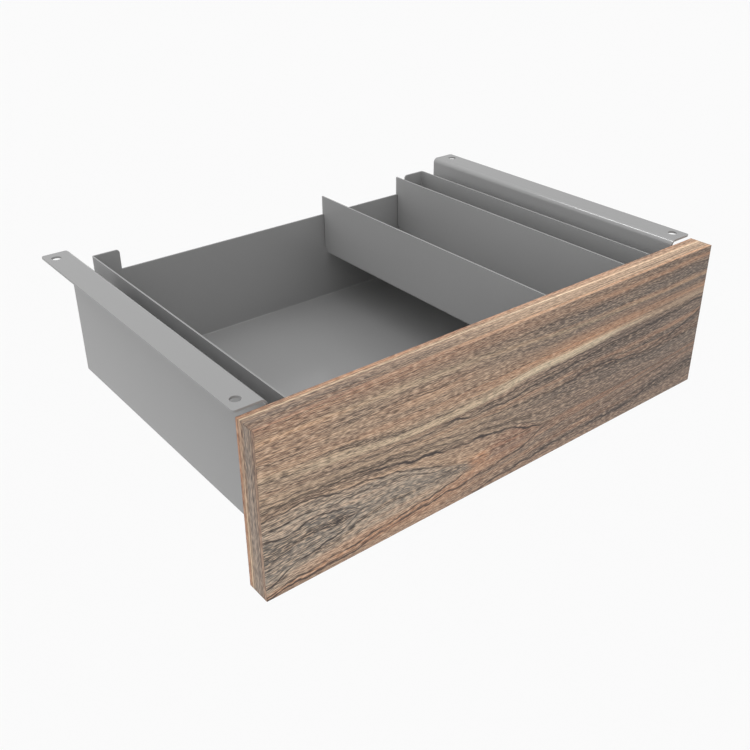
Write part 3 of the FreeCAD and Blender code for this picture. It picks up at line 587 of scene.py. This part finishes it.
def walnut_band(name, upright):
    """An edge band; where it shows on the front, it carries on the front's own grain."""
    wood = Shader(name)
    x, y, z = wood.position()[:3]
    low, high = PANEL_BOX
    width = (high.y - low.y) * MILLIMETRES
    front = low.y * MILLIMETRES
    from_front = wood.math("SUBTRACT", y, front)
    if upright:
        along = wood.math("SUBTRACT", high.z * MILLIMETRES, z)
        across = from_front
        length, guides, tones = (high.z - low.z) * MILLIMETRES, SIDE_GUIDES, SIDE_TONES
        # The upright bands get no painted light.
        painted_light_ends = (1.0, 1.0)
    else:
        along = wood.math("SUBTRACT", x, low.x * MILLIMETRES)
        across = wood.math("SUBTRACT", width, from_front)
        length, guides, tones = (high.x - low.x) * MILLIMETRES, TOP_GUIDES, TOP_TONES
        # Painted light: the top band grows brighter towards its right end.
        painted_light_ends = (1.02, 1.45)
    band = band_grain(wood, along, across, width, length, guides, tones, painted_light_ends)
    band_colour, band_fine, band_relief = band
    face_colour, face_fine, face_relief = face_grain(wood, x, z)
    on_front = wood.math("LESS_THAN", from_front, FRONT_SKIN)
    colour = wood.mix(on_front, band_colour, face_colour)
    fine = wood.remap(on_front, 0.0, 1.0, band_fine, face_fine)
    relief = wood.remap(on_front, 0.0, 1.0, band_relief, face_relief)
    finish(wood, colour, fine, relief)
    return wood


# How fast the noise of the rolling lines changes in a millimetre, across them and along them.
LINES_ACROSS = 3.0
LINES_ALONG = 0.004


def zinc_plate(name, level, roughness):
    """Bright zinc: fine rolling lines along Y and a faint cloudy tone."""
    zinc = Shader(name)
    x, y, z = zinc.position()[:3]
    place = zinc.vector(
        zinc.math("MULTIPLY", x, LINES_ACROSS),
        zinc.math("MULTIPLY", y, LINES_ALONG),
        zinc.math("MULTIPLY", z, LINES_ACROSS),
    )
    lines = zinc.noise(place, detail=3.0)
    cloud = zinc.noise(zinc.vector(x, y, z), scale=0.05, detail=2.0)
    bright = linear(level, level, level + 4)
    dull = linear(level - 16, level - 14, level - 8)
    zinc.set(
        base_color=zinc.mix(cloud, bright, dull),
        metallic=1.0,
        roughness=zinc.remap(lines, 0.3, 0.7, roughness, roughness + 0.12),
    )
    zinc.bump(lines, distance=0.00001, strength=0.4)
    return zinc


def moulded(name, colour, roughness):
    """Moulded plastic or rubber with a fine grain."""
    plastic = Shader(name)
    x, y, z = plastic.position()[:3]
    grain = plastic.noise(plastic.vector(x, y, z), scale=3.5, detail=3.0)
    lighter = tuple(min(255, level + 14) for level in colour)
    plastic.set(
        base_color=plastic.mix(grain, linear(*colour), linear(*lighter)),
        roughness=plastic.remap(grain, 0.3, 0.7, roughness - 0.06, roughness + 0.06),
    )
    plastic.bump(grain, distance=0.00003, strength=0.5)
    return plastic


def chip_board():
    """Raw board core: pressed chips of several browns."""
    board = Shader("board_core")
    x, y, z = board.position()[:3]
    chips = board.node("ShaderNodeTexVoronoi", {"Vector": board.vector(x, y, z), "Scale": 0.8})
    tone = board.node("ShaderNodeSeparateColor", {0: chips.outputs["Color"]}).outputs[0]
    chip_tones = [(0.0, (150, 116, 80)), (0.5, (190, 156, 112)), (1.0, (214, 184, 140))]
    colour = board.ramp(tone, chip_tones)
    board.set(base_color=colour, roughness=0.85)
    board.bump(chips.outputs["Distance"], distance=0.0002, strength=0.5)
    return board


# ---------------------------------------------------------------- stage and light


def make_world():
    """Soft studio light: brighter overhead, and dimmer on the right than on the left."""
    world = bpy.data.worlds.new("studio")
    scene.world = world
    world.use_nodes = True
    tree = world.node_tree
    background = tree.nodes["Background"]
    background.inputs["Color"].default_value = (1.0, 1.0, 1.0, 1.0)
    direction = tree.nodes.new("ShaderNodeTexCoord").outputs["Generated"]
    parts = tree.nodes.new("ShaderNodeSeparateXYZ")
    tree.links.new(direction, parts.inputs[0])
    sides = tree.nodes.new("ShaderNodeMath")
    sides.operation = "MULTIPLY_ADD"
    tree.links.new(parts.outputs["X"], sides.inputs[0])
    sides.inputs[1].default_value = SKY_TILT
    sides.inputs[2].default_value = SKY_SIDES
    level = tree.nodes.new("ShaderNodeMapRange")
    level.interpolation_type = "SMOOTHSTEP"
    level.inputs["From Min"].default_value = SKY_TOP_BEGINS
    level.inputs["From Max"].default_value = SKY_TOP_FULL
    tree.links.new(sides.outputs[0], level.inputs["To Min"])
    level.inputs["To Max"].default_value = SKY_TOP
    tree.links.new(parts.outputs["Z"], level.inputs["Value"])
    tree.links.new(level.outputs["Result"], background.inputs["Strength"])


def make_lamp():
    """A small lamp behind and above that only draws highlights along the folded edges."""
    data = bpy.data.lights.new("lamp", "AREA")
    data.energy = LAMP_WATTS
    data.shape = "RECTANGLE"
    data.size, data.size_y = LAMP_SIZE
    lamp = bpy.data.objects.new("lamp", data)
    lamp.location = LAMP_PLACE
    lamp.rotation_euler = LAMP_PLACE.to_track_quat("Z", "Y").to_euler()
    lamp.visible_diffuse = False
    scene.collection.objects.link(lamp)


def make_stage():
    """A pale floor far below the hanging drawer, a little darker far out on the left."""
    floor_level = cad_box[0][2] - FLOOR_BELOW
    half = FLOOR_HALF_SIDE
    mesh = bpy.data.meshes.new("floor")
    corners = [(-half, -half), (half, -half), (half, half), (-half, half)]
    mesh.from_pydata([(x, y, floor_level) for x, y in corners], [], [(0, 1, 2, 3)])
    floor = bpy.data.objects.new("floor", mesh)
    scene.collection.objects.link(floor)
    pale = Shader("pale_floor")
    place = pale.node("ShaderNodeTexCoord").outputs["Object"]
    x = pale.node("ShaderNodeSeparateXYZ", {0: place}).outputs[0]
    cloud = pale.noise(place, scale=0.4, detail=1.0)
    shade = pale.math(
        "ADD",
        pale.remap(x, FLOOR_SHADE_FROM, FLOOR_SHADE_TO, FLOOR_FAR_LEFT, FLOOR_ALBEDO, smooth=True),
        pale.remap(cloud, 0.0, 1.0, -0.002, 0.002),
    )
    grey = pale.node("ShaderNodeCombineColor", {0: shade, 1: shade, 2: shade}).outputs[0]
    pale.set(base_color=grey, roughness=1.0, specular_ior_level=0.0)
    mesh.materials.append(pale.material)
    make_world()


# ---------------------------------------------------------------- build

make_camera()
make_stage()
make_lamp()
paint = grey_paint()
for node in ("tray", "raised_tray"):
    dress(node, paint)
dress("panel_front_laminate", walnut_face("walnut_face"))
dress("panel_back_laminate", walnut_face("walnut_back"))
dress("panel_core", chip_board())
level_band = walnut_band("walnut_level_band", upright=False)
upright_band = walnut_band("walnut_upright_band", upright=True)
dress("panel_top_band", level_band)
dress("panel_bottom_band", level_band)
dress("panel_left_band", upright_band)
dress("panel_right_band", upright_band)
rail_zinc = zinc_plate("zinc_rail", 228, 0.26)
cage_zinc = zinc_plate("cage_steel", 176, 0.34)
fastener_zinc = zinc_plate("zinc_fasteners", 196, 0.28)
ball_steel = zinc_plate("bearing_steel", 226, 0.06)
rivet_metal = zinc_plate("rivet_aluminium", 214, 0.36)
lever_plastic = moulded("lever_plastic", (22, 22, 24), 0.45)
bumper_rubber = moulded("bumper_rubber", (30, 30, 31), 0.7)
for side in SIDES:
    dress(f"{side}_bracket", paint)
    dress(f"{side}_bracket_bosses", paint)
    for rail in ("outer_rail", "middle_rail", "inner_rail"):
        dress(f"{side}_{rail}", rail_zinc)
    for cage in ("outer", "inner"):
        dress(f"{side}_{cage}_cage", cage_zinc)
        dress(f"{side}_{cage}_balls", ball_steel)
    for fastener in ("outer_rail_screws", "inner_rail_screws", "lever_pin"):
        dress(f"{side}_{fastener}", fastener_zinc)
    dress(f"{side}_release_lever", lever_plastic)
    dress(f"{side}_rear_bumper", bumper_rubber)
dress("panel_screws", fastener_zinc)
dress("raised_tray_screws", fastener_zinc)
dress("raised_tray_rivets", rivet_metal)
